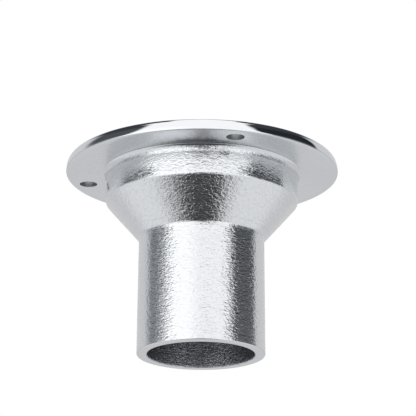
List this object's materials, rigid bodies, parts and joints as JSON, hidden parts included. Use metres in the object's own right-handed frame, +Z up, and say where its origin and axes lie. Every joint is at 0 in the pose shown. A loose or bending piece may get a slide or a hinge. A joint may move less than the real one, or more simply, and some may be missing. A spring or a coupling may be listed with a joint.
{
  "type": "stanchion base",
  "caption": "Round stainless through-deck socket: flat screw flange on top, stepped cone and open tube below, plastic-lined bore that holds a stanchion's foot.",
  "frame": {"origin": "centre of the tube's free lower end, which is the bottom of the part", "axes": "+Z up along the socket's axis, from the tube's free end to the flange's polished top face; one screw hole lies on the -Y side"},
  "size_m": [0.08, 0.08, 0.0583],
  "materials": {
    "polished_stainless": "mirror-polished rim and top face, turned satin underside",
    "dressed_weld": "ground and buffed smooth cove",
    "cast_stainless": "as cast, electropolished, fine orange-peel grain",
    "seam_weld": "narrow seam, electropolished with the casting",
    "cast_tube_stainless": "as cast with fine cross ripples, electropolished, machined free end",
    "black_acetal": "turned black acetal, satin",
    "pressed_stainless": "pressed and tumbled, satin",
    "spring_stainless": "bright spring steel, slightly darkened"
  },
  "bodies": {
    "root": {"flange_plate": "polished_stainless", "flange_weld": "dressed_weld", "hub_casting": "cast_stainless", "tube_weld": "seam_weld", "socket_tube": "cast_tube_stainless", "liner_bush": "black_acetal", "foot_washer": "pressed_stainless", "circlip": "spring_stainless"}
  },
  "joints": []
}
